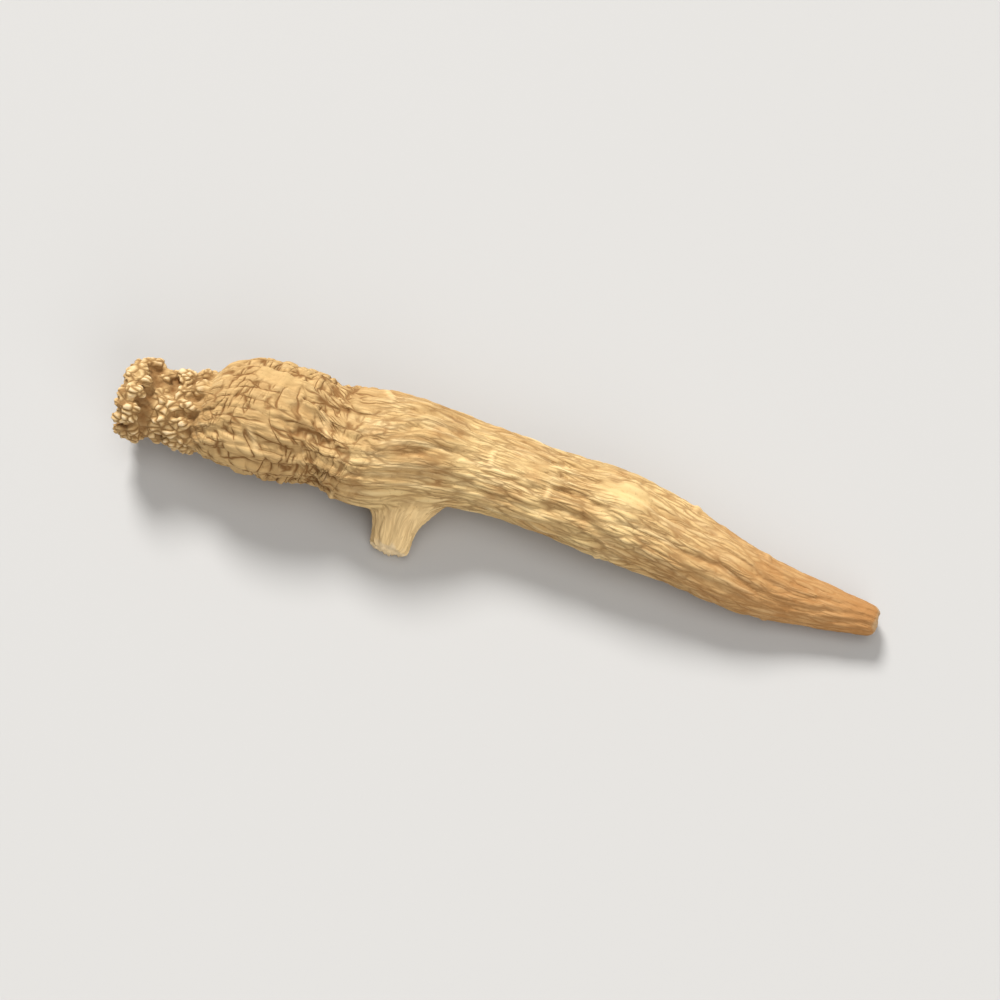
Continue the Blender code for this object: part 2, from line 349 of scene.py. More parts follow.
def addStemScars(bm):
    # shallow cups: balls with the cap above the rim turned inwards
    form = headForm
    for distance, degrees, radius in form["stemScars"]:
        rim = radius * form["scarRim"]
        if degrees is None:
            facing = Vector(form["endScarFacing"]).normalized()
            centre = rootSpine(0) + Vector((distance, 0, 0))
        else:
            angle = math.radians(degrees)
            facing = Vector((form["scarLean"], math.cos(angle), math.sin(angle))).normalized()
            centre = onHead(distance, angle, rim - form["scarStandsOut"])
        turn = Vector((0, 0, 1)).rotation_difference(facing)
        for vert in addBall(bm, (form["scarSegments"], form["scarSegments"]), radius):
            if vert.co.z > rim:
                vert.co.z = 2 * rim - vert.co.z
            vert.co = turn @ vert.co + centre


budForm = {
    # distance from the end, how many round the head, radius, how far past the girth their middles are
    "bands": (
        (0.8 * mm, 15, 0.62 * mm, 0.25 * mm),
        (2.3 * mm, 17, 0.60 * mm, 0.40 * mm),
        (4.5 * mm, 13, 0.58 * mm, 0.15 * mm),
        (6.5 * mm, 16, 0.62 * mm, 0.30 * mm),
        (8.1 * mm, 18, 0.60 * mm, 0.22 * mm),
    ),
    "seed": 23,
    "turn": 0.3,
    "shift": 0.5,
    "past": (0.5, 1.3),
    "sizes": (0.75, 1.25),
    "lengths": (1.1, 1.9),
    "segments": (12, 10),
    # those on the end: how many, over what share of the shoulder, how deep, radii in millimetres, length
    "endCount": 13,
    "endSpread": 0.36,
    "endDepth": 0.35 * mm,
    "endSizes": (0.4, 0.7),
    "endLength": 0.8,
}


def addBuds(bm):
    # small scales left by old buds, in rings round the head and scattered on its end
    form = budForm
    draw = random.Random(form["seed"])
    turn, shift = form["turn"], form["shift"]
    places = []
    for band, (distance, count, radius, past) in enumerate(form["bands"]):
        for i in range(count):
            angle = fullTurn * (i + 0.5 * band + draw.uniform(-turn, turn)) / count
            along = distance + draw.uniform(-shift, shift) * mm
            centre = onHead(along, angle, -past * draw.uniform(*form["past"]))
            size = radius * draw.uniform(*form["sizes"])
            places.append((centre, size, draw.uniform(*form["lengths"])))
    for i in range(form["endCount"]):
        angle = draw.uniform(0, fullTurn)
        reach = rootForm["shoulder"] * form["endSpread"] * math.sqrt(draw.uniform(0, 1))
        offset = Vector((form["endDepth"], math.cos(angle) * reach, math.sin(angle) * reach))
        places.append((rootSpine(0) + offset, draw.uniform(*form["endSizes"]) * mm, form["endLength"]))
    for centre, radius, length in places:
        centre.x = max(centre.x, radius * length)
        for vert in addBall(bm, form["segments"], radius):
            vert.co = Vector((vert.co.x * length, vert.co.y, vert.co.z)) + centre


breaking = {
    # how far each broken end is cut back, how ragged the break is, and lumps for each metre across it
    "tailCut": 0.7 * mm,
    "sideCut": 0.3 * mm,
    "ragged": 0.55 * mm,
    "lumps": 1100,
    # where in the noise the side root's break is read, so that it isn't the tail's
    "sideApart": 7 * mm,
}


def tailBreak(p):
    rough = noise.noise(Vector((0, p.y, p.z)) * breaking["lumps"])
    return rootForm["length"] - breaking["tailCut"] + breaking["ragged"] * rough


def sideBreak(p):
    rough = noise.noise(Vector((p.x, breaking["sideApart"], p.z)) * breaking["lumps"])
    return sideSpine(1).y + breaking["sideCut"] - breaking["ragged"] * rough


def breakEnds(bm):
    for vert in bm.verts:
        vert.co.x = min(vert.co.x, tailBreak(vert.co))
        vert.co.y = max(vert.co.y, sideBreak(vert.co))


def asObject(name, mesh):
    obj = bpy.data.objects.new(name, mesh)
    bpy.context.scene.collection.objects.link(obj)
    return obj


def takeMesh(obj):
    # the evaluated mesh, with the object's modifiers taken off
    graph = bpy.context.evaluated_depsgraph_get()
    mesh = bpy.data.meshes.new_from_object(obj.evaluated_get(graph))
    obj.modifiers.clear()
    obj.data = mesh
    return obj


fusing = {"voxel": 0.2 * mm, "softness": 0.5, "smoothing": 1}


def growRoot():
    # the body, side root, knobs, bud scales and stem scars, melted into one even skin
    bm = bmesh.new()
    addBuds(bm)
    addKnobs(bm)
    addStemScars(bm)
    addLimb(bm, sideForm, Vector((1, 0, 0)), sideSpine, sideHalfWidth, sideOpening, sideFlatness)
    addLimb(bm, rootForm, Vector((0, 1, 0)), rootSpine, rootHalfWidth, rootOpening, rootFlatness)
    middle = Vector()
    for axis in (0, 1):
        places = [vert.co[axis] for vert in bm.verts]
        middle[axis] = (min(places) + max(places)) / 2
    breakEnds(bm)
    mesh = bpy.data.meshes.new("root_skin")
    bm.to_mesh(mesh)
    bm.free()
    obj = asObject("root_skin", mesh)
    remesh = obj.modifiers.new("fuse", "REMESH")
    remesh.mode = "VOXEL"
    remesh.voxel_size = fusing["voxel"]
    remesh.use_smooth_shade = True
    soften = obj.modifiers.new("soften", "SMOOTH")
    soften.factor = fusing["softness"]
    soften.iterations = fusing["smoothing"]
    return takeMesh(obj), middle


marking = {
    # how much closer the wrinkles' crossings lie on the shoulder, between these millimetres
    "crowding": 0.35,
    "crowded": (7.0, 11.0, 20.0, 31.0),
    # steps for each millimetre in the table of that, and spare steps past the tail
    "steps": 10,
    "spareSteps": 40,
    # radius in millimetres of the round path that patterns are laid on, its share at the tail, and
    # over what part of the length it narrows
    "round": 5.2,
    "tailRound": 0.58,
    "narrowing": (0.5, 1.0),
    "sideRound": 2.7,
    # share of the girth inside which that path shrinks with the reach, as on the end faces
    "inner": 0.80,
    # millimetres along over which the head's true distances give way to that path
    "headPath": (8.0, 11.0),
    # how far the shoulder's rings lean forward and back, between these millimetres, how many times
    # round, and how that turns for each millimetre along
    "lean": 1.7,
    "leaning": (8.0, 12.0, 24.0, 34.0),
    "leanWaves": 2,
    "leanTurn": 0.3,
    # how far out the head's end face counts as, in millimetres, and how deep that goes
    "endOutside": 0.75,
    "endFace": 2 * mm,
    # how far from its middle the side root is looked for, how far out it takes over, in millimetres,
    # and how far along its own pattern begins, so that it isn't the body's
    "sideReach": 9 * mm,
    "sideOutside": (0.2, 1.6),
    "sideApart": 200,
    # millimetres along where the head's skin ends, and how ragged that border is
    "headBorder": (8.0, 10.0),
    "headRagged": 1.2,
    # smooth places on the skin: millimetres along and round from the top, half length and half width
    "smoothPlaces": ((16.5, 3.4, 3.2, 1.7), (55.5, 1.6, 3.4, 1.5)),
    "smoothFade": (0.6, 1.15),
    "smoothRagged": 0.3,
    # millimetres from a break over which its pale flesh fades
    "brokenFade": (0.05, 0.40),
}


def patternLengths():
    # how far a pattern has run at each step along the root
    begin, full, fade, stop = marking["crowded"]
    steps = marking["steps"]
    run, lengths = 0.0, []
    for step in range(int(rootForm["length"] / mm * steps) + marking["spareSteps"]):
        x = step / steps
        lengths.append(run)
        run += 1 / steps * (1 + marking["crowding"] * ease(begin, full, x) * (1 - ease(fade, stop, x)))
    return lengths


def smoothShare(along, around, angle):
    share = 0.0
    for place, turned, halfLength, halfWidth in marking["smoothPlaces"]:
        away = math.hypot((along - place) / halfLength, (around - turned) / halfWidth)
        away += marking["smoothRagged"] * uneven("smoothBorder", along, angle)
        share = max(share, 1 - ease(*marking["smoothFade"], away))
    return share


def bodyMarks(p, lengths):
    # where a point lies along and round the body, in millimetres, and which parts it belongs to
    t = min(max(p.x / rootForm["length"], 0), 1)
    spine = rootSpine(t)
    girth = smooth(rootForm["girth"], t) * rootForm["shoulder"] / mm
    y, z = p.y - spine.y, (p.z - spine.z) / rootForm["flatness"]
    angle, along, reach = math.atan2(z, y), p.x / mm, math.hypot(y, z) / mm
    outside = reach - girth
    if p.x < marking["endFace"]:
        outside = max(outside, marking["endOutside"] - along)

    path = marking["round"] * (1 - (1 - marking["tailRound"]) * ease(*marking["narrowing"], t))
    path *= min(reach / (marking["inner"] * girth), 1)
    path = reach + (path - reach) * ease(*marking["headPath"], along)

    step = min(max(along * marking["steps"], 0), len(lengths) - 2)
    low = int(step)
    run = lengths[low] + (lengths[low + 1] - lengths[low]) * (step - low)
    begin, full, fade, stop = marking["leaning"]
    leaning = ease(begin, full, along) * (1 - ease(fade, stop, along))
    swing = math.sin(marking["leanWaves"] * angle + marking["leanTurn"] * along)
    run += marking["lean"] * leaning * swing

    around = math.atan2(y, z) * girth
    border = along + marking["headRagged"] * uneven("headBorder", along, angle)
    return {
        "bodyFlow": (math.cos(angle) * path, math.sin(angle) * path, run),
        "headShare": 1 - ease(*marking["headBorder"], border),
        "along": along,
        "around": around,
        "outside": outside,
        "even": smoothShare(along, around, angle),
    }


def sideMarks(p, start, outside):
    # the same for the side root, which starts at a place on the body's spine
    form = sideForm
    t = (start.y - p.y - form["start"]) / form["length"]
    near = t > 0 and abs(p.x - start.x) < marking["sideReach"]
    t = min(max(t, 0), 1)
    spine = sideSpine(t)
    across, up = (p.x - spine.x) / mm, (p.z - spine.z) / sideFlatness(t) / mm
    girth = smooth(form["girth"], t) * rootForm["shoulder"] / mm
    widen = marking["sideRound"] / max(math.hypot(across, up), marking["inner"] * girth)
    return {
        "sideFlow": (across * widen, up * widen, marking["sideApart"] + t * form["length"] / mm),
        "sideShare": ease(*marking["sideOutside"], outside) if near else 0.0,
    }


def brokenShare(p):
    tailGap, sideGap = (tailBreak(p) - p.x) / mm, (p.y - sideBreak(p)) / mm
    return 1 - ease(*marking["brokenFade"], min(tailGap, sideGap))


def markSkin(obj, middle):
    # each point's way along and round the root, for the wrinkles to follow
    mesh, marks = obj.data, {}
    lengths = patternLengths()
    sideStart = rootSpine(sideForm["place"])
    for vert in mesh.vertices:
        found = bodyMarks(vert.co, lengths)
        found.update(sideMarks(vert.co, sideStart, found["outside"]))
        found["broken"] = brokenShare(vert.co)
        for name, value in found.items():
            marks.setdefault(name, []).extend(value if isinstance(value, tuple) else (value,))
        vert.co = vert.co - middle
    for name, values in marks.items():
        kind, slot = ("FLOAT_VECTOR", "vector") if name.endswith("Flow") else ("FLOAT", "value")
        mesh.attributes.new(name, kind, "POINT").data.foreach_set(slot, values)


class Wire:
    # one socket of a node tree: sums on it add Math nodes
    def __init__(self, graph, socket):
        self.graph = graph
        self.socket = socket

    def __add__(self, other):
        return self.graph.math("ADD", self, other)

    __radd__ = __add__

    def __sub__(self, other):
        return self.graph.math("SUBTRACT", self, other)

    def __rsub__(self, other):
        return self.graph.math("SUBTRACT", other, self)

    def __mul__(self, other):
        return self.graph.math("MULTIPLY", self, other)

    __rmul__ = __mul__

    def __truediv__(self, other):
        return self.graph.math("DIVIDE", self, other)

    def __pow__(self, other):
        return self.graph.math("POWER", self, other)

    def __abs__(self):
        return self.graph.math("ABSOLUTE", self)


class Graph:
    # a node tree, and the one method that adds a node of any type to it
    noiseMiddle = 0.5

    def __init__(self, tree):
        self.tree = tree
        tree.nodes.clear()

    def node(self, kind, settings=None, inputs=None, output=0):
        made = self.tree.nodes.new(kind)
        for name, value in (settings or {}).items():
            setattr(made, name, value)
        for place, value in (inputs or {}).items():
            if isinstance(value, Wire):
                self.tree.links.new(value.socket, made.inputs[place])
            else:
                made.inputs[place].default_value = value
        return Wire(self, made.outputs[output])

    def math(self, operation, *values):
        return self.node("ShaderNodeMath", {"operation": operation}, dict(enumerate(values)))

    def vector(self, operation, *values):
        return self.node("ShaderNodeVectorMath", {"operation": operation}, dict(enumerate(values)))

    def parts(self, vector):
        return [self.node("ShaderNodeSeparateXYZ", None, {0: vector}, i) for i in range(3)]

    def ease(self, low, high, value):
        settings = {"interpolation_type": "SMOOTHSTEP"}
        inputs = {"Value": value, "From Min": low, "From Max": high}
        return self.node("ShaderNodeMapRange", settings, inputs)

    def valley(self, width, border):
        # 1 on a border between cells, and 0 at this width from it
        return 1 - self.ease(0.0, width, border)

    def atLeast(self, least, share):
        return least + (1 - least) * share

    def noise(self, place, scale=1.0, detail=2.0, output=0):
        inputs = {"Vector": place, "Scale": scale, "Detail": detail}
        return self.node("ShaderNodeTexNoise", None, inputs, output)

    def ridge(self, place, detail):
        # how far a noise is from its middle, which it crosses in long winding lines
        return abs(self.noise(place, detail=detail) - self.noiseMiddle)

    def edge(self, place):
        # how far a point is from the nearest border between irregular cells
        inputs = {"Vector": place, "Scale": 1.0, "Randomness": 1.0}
        return self.node("ShaderNodeTexVoronoi", {"feature": "DISTANCE_TO_EDGE"}, inputs)

    def stretched(self, place, width, length):
        scale = self.node("ShaderNodeCombineXYZ", None, {0: 1 / width, 1: 1 / width, 2: 1 / length})
        return self.vector("MULTIPLY", place, scale)

    def wandering(self, place, amount, broad):
        # the place, moved about so that what is drawn there bends: twice as far and as slowly lengthwise
        scale = (1 / broad, 1 / broad, 1 / (2 * broad))
        drift = self.noise(self.vector("MULTIPLY", place, scale), output=1)
        centred = self.vector("SUBTRACT", drift, (self.noiseMiddle,) * 3)
        moved = self.vector("MULTIPLY", centred, (amount, amount, amount * 2))
        return self.vector("ADD", place, moved)

    def mix(self, share, low, high):
        return low + (high - low) * share

    def most(self, first, *others):
        for other in others:
            first = self.math("MAXIMUM", first, other)
        return first


wrinkleSizes = {
    # widths and lengths in millimetres
    "foldWidth": 2.3,
    "foldLength": 13.0,
    "creaseWidth": 0.90,
    "creaseLength": 5.4,
    "lineWidth": 0.47,
    "lineLength": 4.2,
    "ringSpan": 3.6,
    "ringGap": 1.35,
    "budWidth": 0.80,
    "budLength": 1.1,
    # the slanting creases of the neck, and how far they lean round for each millimetre along
    "slantWidth": 0.62,
    "slantLength": 3.0,
    "slantLean": 0.85,
    # how far each wanders, and over what distance
    "bend": (1.3, 5.0),
    "ripple": (0.55, 1.3),
    "ringBend": (1.2, 3.0),
    "budBend": (0.5, 1.6),
    "slantBend": (0.8, 2.0),
}


def wrinkles(graph, marks):
    # borders of the folds, creases, fine lines, rings and bud scales: 0 at the bottom of each
    size, body = wrinkleSizes, marks["bodyFlow"]

    def layers(flow):
        bent = graph.wandering(flow, *size["bend"])
        rippled = graph.wandering(bent, *size["ripple"])
        fold = graph.ridge(graph.stretched(bent, size["foldWidth"], size["foldLength"]), 0.0)
        crease = graph.edge(graph.stretched(rippled, size["creaseWidth"], size["creaseLength"]))
        line = graph.edge(graph.stretched(rippled, size["lineWidth"], size["lineLength"]))
        return fold, crease, line

    pairs = zip(layers(body), layers(marks["sideFlow"]))
    fold, crease, line = (graph.mix(marks["sideShare"], low, high) for low, high in pairs)
    ringPlace = graph.wandering(body, *size["ringBend"])
    ring = graph.ridge(graph.stretched(ringPlace, size["ringSpan"], size["ringGap"]), 1.0)
    budPlace = graph.wandering(body, *size["budBend"])
    bud = graph.edge(graph.stretched(budPlace, size["budWidth"], size["budLength"]))
    lean = marks["around"] + size["slantLean"] * marks["along"]
    slantPlace = graph.node("ShaderNodeCombineXYZ", None, {0: lean, 2: marks["along"]})
    slantPlace = graph.wandering(slantPlace, *size["slantBend"])
    slant = graph.edge(graph.stretched(slantPlace, size["slantWidth"], size["slantLength"]))
    return {"fold": fold, "crease": crease, "line": line, "ring": ring, "bud": bud, "slant": slant}


zoneSizes = {
    # millimetres along: where the shoulder's skin begins, is full, fades and ends, and the neck's middle
    "shoulder": (8.5, 12.0, 23.0, 30.0),
    "neck": 22.6,
    "neckFade": (0.4, 2.6),
    # patches for each millimetre, and the noise values between which a patch fades in
    "neckPatches": 0.28,
    "neckPatchFade": (0.30, 0.48),
    "strongPatches": 0.17,
    "strongFade": (0.32, 0.62),
    # width and length of the dashes that the creases are broken into
    "dashSize": (1.1, 2.6),
    "dashFade": (0.40, 0.58),
    # the pieces that the rings are broken into, and what is left between them
    "ringPieces": 0.62,
    "ringPieceFade": (0.42, 0.54),
    "ringLeast": 0.30,
}


def zones(graph, marks):
    # where on the root each kind of wrinkle is, from 0 to 1
    size, flow, along = zoneSizes, marks["bodyFlow"], marks["along"]
    begin, full, fade, stop = size["shoulder"]
    shoulder = graph.ease(begin, full, along) * (1 - graph.ease(fade, stop, along))
    patchy = graph.ease(*size["neckPatchFade"], graph.noise(flow, size["neckPatches"]))
    neck = patchy * (1 - graph.ease(*size["neckFade"], abs(along - size["neck"])))
    strength = graph.ease(*size["strongFade"], graph.noise(flow, size["strongPatches"]))
    dashes = graph.noise(graph.stretched(flow, *size["dashSize"]), detail=1.0)
    dashed = graph.ease(*size["dashFade"], dashes)
    pieces = graph.ease(*size["ringPieceFade"], graph.noise(flow, size["ringPieces"]))
    ringed = shoulder * graph.atLeast(size["ringLeast"], pieces)
    return {"shoulder": shoulder, "neck": neck, "strength": strength, "dashed": dashed, "ringed": ringed}


scarForm = {
    # bars for each square metre at most, and a seed for their sizes
    "density": 9.0e4,
    "seed": 3,
    "bend": (0.4, 1.6),
    # half width in millimetres of the shortest bar, and the shares of it over which its ends fade
    "shortest": 0.5,
    "endFade": (0.5, 1.0),
    # millimetres along from a bar's middle over which it fades, and the chances between which bars show
    "sideFade": (0.12, 0.50),
    "chances": (0.45, 0.6),
}


def scarBars(graph, skin, size, marks, here):
    # short raised bars across the wrinkles, at points scattered on the skin
    form, flow = scarForm, marks["bodyFlow"]
    points = graph.node(
        "GeometryNodeDistributePointsOnFaces",
        {"distribute_method": "POISSON"},
        {
            "Mesh": skin,
            "Distance Min": size["Scar spacing"] * mm,
            "Density Max": form["density"],
            "Seed": size["Seed"],
        },
    )
    nearest = graph.node("GeometryNodeSampleNearest", {"domain": "POINT"}, {0: points, 1: here})
    settings = {"data_type": "FLOAT_VECTOR", "domain": "POINT"}
    inputs = {"Geometry": points, "Value": flow, "Index": nearest}
    scarFlow = graph.node("GeometryNodeSampleIndex", settings, inputs)
    offset = graph.vector("SUBTRACT", graph.wandering(flow, *form["bend"]), scarFlow)
    x, y, z = graph.parts(offset)
    inputs = {"ID": nearest, "Seed": form["seed"]}
    chance = graph.node("FunctionNodeRandomValue", {"data_type": "FLOAT"}, inputs, 1)
    reach = (x ** 2 + y ** 2) ** 0.5 / (form["shortest"] + chance)
    bar = (1 - graph.ease(*form["sideFade"], abs(z))) * (1 - graph.ease(*form["endFade"], reach))
    shown = bar * graph.ease(*form["chances"], chance)
    return shown * (1 - marks["headShare"]) * (1 - marks["sideShare"])


skinRelief = {
    # millimetres; the swell makes up for what the wrinkles take away
    "Swell": 0.09,
    "Fold depth": 0.07,
    "Crease depth": 0.19,
    "Line depth": 0.12,
    "Ring depth": 0.24,
    "Slant depth": 0.20,
    "Bud depth": 0.24,
    "Scar spacing": 6.5,
    "Scar height": 0.16,
    "Seed": 5,
}

reliefShape = {
    # how far from its border each groove's slope reaches, in its pattern's own units
    "foldWidth": 0.16,
    "sharpWidth": 0.20,
    "broadWidth": 0.42,
    "lineWidth": 0.40,
    "ringWidth": 0.11,
    "slantWidth": 0.34,
    "budWidth": 0.34,
    # a crease is partly sharp and partly broad, and no weaker than this between dashes and strong patches
    "sharp": 0.6,
    "broad": 0.4,
    "dashLeast": 0.35,
    "strongLeast": 0.5,
    # what the shoulder takes from folds and lines and adds to creases
    "shoulderFold": 0.5,
    "shoulderLine": 0.45,
    "shoulderCrease": 0.20,
    # what the tail, between these millimetres, and the smooth places take away
    "tail": (58.0, 82.0),
    "tailLoss": 0.5,
    "smoothLoss": 0.8,
}


def skinHeight(graph, size, marks, bar):
    # how far the skin stands out, in millimetres
    shape, valley = reliefShape, graph.valley
    groove, zone = wrinkles(graph, marks), zones(graph, marks)
    shoulder = zone["shoulder"]
    folded = valley(shape["foldWidth"], groove["fold"]) * (1 - shape["shoulderFold"] * shoulder)
    dashed = graph.atLeast(shape["dashLeast"], zone["dashed"])
    sharp = shape["sharp"] * valley(shape["sharpWidth"], groove["crease"]) * dashed
    broad = shape["broad"] * valley(shape["broadWidth"], groove["crease"])
    creased = (sharp + broad) * graph.atLeast(shape["strongLeast"], zone["strength"])
    creased = creased * (1 + shape["shoulderCrease"] * shoulder)
    lined = valley(shape["lineWidth"], groove["line"]) * (1 - shape["shoulderLine"] * shoulder)
    ringed = valley(shape["ringWidth"], groove["ring"]) * zone["ringed"]
    slanted = valley(shape["slantWidth"], groove["slant"]) * zone["neck"]

    sunk = size["Fold depth"] * folded + size["Crease depth"] * creased + size["Line depth"] * lined
    sunk = sunk + size["Ring depth"] * ringed + size["Slant depth"] * slanted
    tailShare = 1 - shape["tailLoss"] * graph.ease(*shape["tail"], marks["along"])
    sunk = sunk * tailShare * (1 - shape["smoothLoss"] * marks["even"])
    body = size["Swell"] + size["Scar height"] * bar - sunk
    head = size["Swell"] - size["Bud depth"] * valley(shape["budWidth"], groove["bud"])
    return graph.mix(marks["headShare"], body, head)


def buildRelief(material):
    tree = bpy.data.node_groups.new("skin_relief", "GeometryNodeTree")
    graph = Graph(tree)
    tree.interface.new_socket("Geometry", in_out="INPUT", socket_type="NodeSocketGeometry")
    for name, value in skinRelief.items():
        kind = "NodeSocketInt" if isinstance(value, int) else "NodeSocketFloat"
        tree.interface.new_socket(name, in_out="INPUT", socket_type=kind)
    tree.interface.new_socket("Geometry", in_out="OUTPUT", socket_type="NodeSocketGeometry")
    entry = tree.nodes.new("NodeGroupInput")
    skin = Wire(graph, entry.outputs["Geometry"])
    size = {name: Wire(graph, entry.outputs[name]) for name in skinRelief}
    marks = {}
    for name in ("bodyFlow", "sideFlow", "sideShare", "headShare", "along", "around", "even"):
        kind = "FLOAT_VECTOR" if name.endswith("Flow") else "FLOAT"
        marks[name] = graph.node("GeometryNodeInputNamedAttribute", {"data_type": kind}, {"Name": name})
    here = graph.node("GeometryNodeInputPosition")
    bar = scarBars(graph, skin, size, marks, here)
    height = skinHeight(graph, size, marks, bar)

    stored = graph.node(
        "GeometryNodeStoreNamedAttribute",
        {"data_type": "FLOAT", "domain": "POINT"},
        {"Geometry": skin, "Name": "bar", "Value": bar},
    )
    normal = graph.node("GeometryNodeInputNormal")
    offset = graph.node("ShaderNodeVectorMath", {"operation": "SCALE"}, {0: normal, "Scale": height * mm})
    pushed = graph.node("GeometryNodeSetPosition", None, {"Geometry": stored, "Offset": offset})
    # nothing goes below the floor
    x, y, z = graph.parts(here)
    pressed = graph.node("ShaderNodeCombineXYZ", None, {0: x, 1: y, 2: graph.math("MAXIMUM", z, 0.0)})
    rested = graph.node("GeometryNodeSetPosition", None, {"Geometry": pushed, "Position": pressed})
    joined = graph.node("GeometryNodeRealizeInstances", None, {"Geometry": rested})
    finished = graph.node("GeometryNodeSetMaterial", None, {"Geometry": joined, "Material": material})
    leave = tree.nodes.new("NodeGroupOutput")
    tree.links.new(finished.socket, leave.inputs["Geometry"])
    return tree


def addRelief(obj, material):
    tree = buildRelief(material)
    relief = obj.modifiers.new("relief", "NODES")
    relief.node_group = tree
    for item in tree.interface.items_tree:
        if item.in_out == "INPUT" and item.name in skinRelief:
            relief[item.identifier] = skinRelief[item.name]
    return takeMesh(obj)


# painted shade: darker in the grooves and in the hollows between the knobs; in the grooves it is partly
# the skin's own browner colour
grooveBrownAndShade = {
    # how far from its border each groove stays dark, in its pattern's own units
    "creaseWidth": 0.13,
    "lineWidth": 0.20,
    "foldWidth": 0.045,
    "ringWidth": 0.070,
    "slantWidth": 0.16,
    "budWidth": 0.20,
    # how dark each is, what dashes and strong patches add, and what the shoulder adds or takes away
    "crease": 0.20,
    "dashes": 0.50,
    "shoulderCrease": 0.45,
    "line": 0.38,
    "strong": 0.32,
    "shoulderLine": 0.45,
    "fold": 0.25,
    "bud": 0.85,
    # the painted shade in the hollows between the knobs: darkness, its change, patches for each
    # millimetre and their detail, and the millimetres out over which a hollow ends
    "hollowShade": 0.45,
    "hollowChange": 0.9,
    "hollowPatches": (1.6, 4.0),
    "hollowFade": (-0.10, 0.62),
    # what the smooth places and the side root take away
    "smoothLoss": 0.85,
    "sideLoss": 0.45,
}


def skinBrownAndShade(graph, marks, groove, zone):
    # how dark the skin is in its grooves and hollows, from 0 to 1: painted shade, and in the grooves
    # partly the skin's own browner colour
    look, valley, shoulder = grooveBrownAndShade, graph.valley, zone["shoulder"]
    creased = look["crease"] + look["dashes"] * zone["dashed"]
    creased = valley(look["creaseWidth"], groove["crease"]) * creased
    creased = creased * (1 + look["shoulderCrease"] * shoulder)
    lined = look["line"] + look["strong"] * zone["strength"]
    lined = valley(look["lineWidth"], groove["line"]) * lined
    lined = lined * (1 - look["shoulderLine"] * shoulder)
    folded = valley(look["foldWidth"], groove["fold"]) * look["fold"]
    ringed = valley(look["ringWidth"], groove["ring"]) * zone["ringed"]
    slanted = valley(look["slantWidth"], groove["slant"]) * zone["neck"]
    bodyBrownAndShade = graph.most(creased, lined, folded, ringed, slanted)
    bodyBrownAndShade = bodyBrownAndShade * (1 - look["smoothLoss"] * marks["even"])
    bodyBrownAndShade = bodyBrownAndShade * (1 - look["sideLoss"] * marks["sideShare"])

    budBrownAndShade = valley(look["budWidth"], groove["bud"]) * look["bud"]
    patches = graph.noise(marks["bodyFlow"], *look["hollowPatches"])
    # painted shade: darker the less a point stands out past the head's girth
    hollowShade = 1 - graph.ease(*look["hollowFade"], marks["outside"])
    hollowShade = hollowShade * (look["hollowShade"] + look["hollowChange"] * patches)
    return graph.mix(marks["headShare"], bodyBrownAndShade, graph.most(budBrownAndShade, hollowShade))


skinFinish = {
    "straw": (0.735, 0.525, 0.236),
    "tan": (0.550, 0.345, 0.138),
    "cream": (0.895, 0.700, 0.375),
    # the grooves' browner skin and painted shade in grooves and hollows, and the specks
    "brown": (0.205, 0.092, 0.026),
    "russet": (0.400, 0.180, 0.055),
    "yellow": (0.660, 0.475, 0.210),
    "scar": (0.845, 0.655, 0.400),
    "pale": (0.930, 0.665, 0.325),
    # patches for each millimetre and levels of detail
    "broad": (0.13, 3.0),
    "blotch": (0.50, 3.0),
    "speck": (3.2, 4.0),
    # widths and lengths in millimetres, then levels of detail
    "streakSize": (0.6, 4.5),
    "streakDetail": 4.0,
    "grainSize": (0.16, 0.7),
    "grainDetail": 5.0,
    # how high the grain, the streaks and the grooves stand in the bump
    "grainDepth": 0.14 * mm,
    "grainLift": 0.6,
    "streakLift": 0.4,
    "darkLift": 0.8,
    "bumpStrength": 0.6,
    "roughness": 0.60,
    "darkRoughness": 0.25,
    "speckRoughness": 0.10,
    "specular": 0.20,
}

colourFades = {
    # the values between which each layer of colour fades in
    "straw": (0.36, 0.64),
    "blotch": (0.50, 0.75),
    "streak": (0.45, 0.75),
    "crestPaleAndHighlight": (0.20, 0.60),
    "tip": (0.30, 0.85),
    "budMiddle": (0.12, 0.32),
    "neckCrest": (0.22, 0.45),
    "speck": (0.60, 0.74),
    "tail": (50.0, 84.0),
}

colourShares = {
    # how much of each layer covers what is under it
    "blotch": 0.40,
    "streak": 0.50,
    "crestPaleAndHighlight": 0.30,
    "smooth": 0.30,
    "shoulder": 0.65,
    "side": 0.88,
    "head": 0.55,
    "tip": 0.70,
    "neckCrest": 0.5,
    # painted shade in the grooves and hollows, partly the grooves' browner skin
    "brownAndShade": 0.92,
    "speck": 0.35,
    "bar": 0.45,
    "tail": 0.85,
    "broken": 0.35,
    "sideBroken": 0.5,
}


